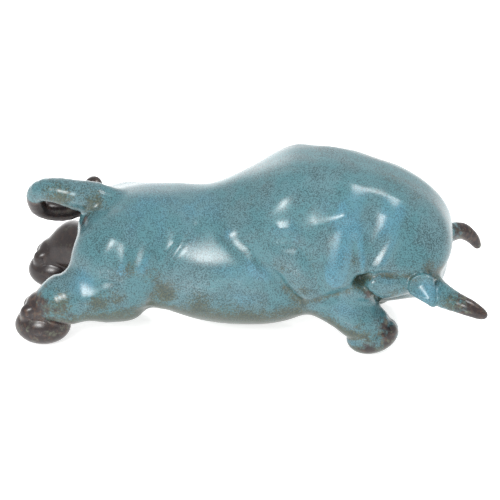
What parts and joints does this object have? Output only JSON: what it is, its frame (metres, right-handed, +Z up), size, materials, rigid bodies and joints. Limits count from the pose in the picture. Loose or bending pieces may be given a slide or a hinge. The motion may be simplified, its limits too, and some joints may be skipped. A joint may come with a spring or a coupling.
{
  "type": "ox figurine",
  "caption": "Glazed ceramic figurine of a charging ox with its head tucked low, horns forward, hind legs stretched back and tail curled over the rump.",
  "frame": {"origin": "on the ground under the middle of the figurine's bounding box", "axes": "+X towards the head and horns, +Y to the far side of the animal, +Z up"},
  "size_m": [0.3792, 0.1504, 0.1478],
  "materials": {
    "glaze": "glossy turquoise to grey-blue reactive glaze with dark speckles, brown on the hooves and horn tips; gloss_plastic stands in for glazed ceramic"
  },
  "bodies": {
    "root": {"ox_figurine": "glaze"}
  },
  "joints": []
}
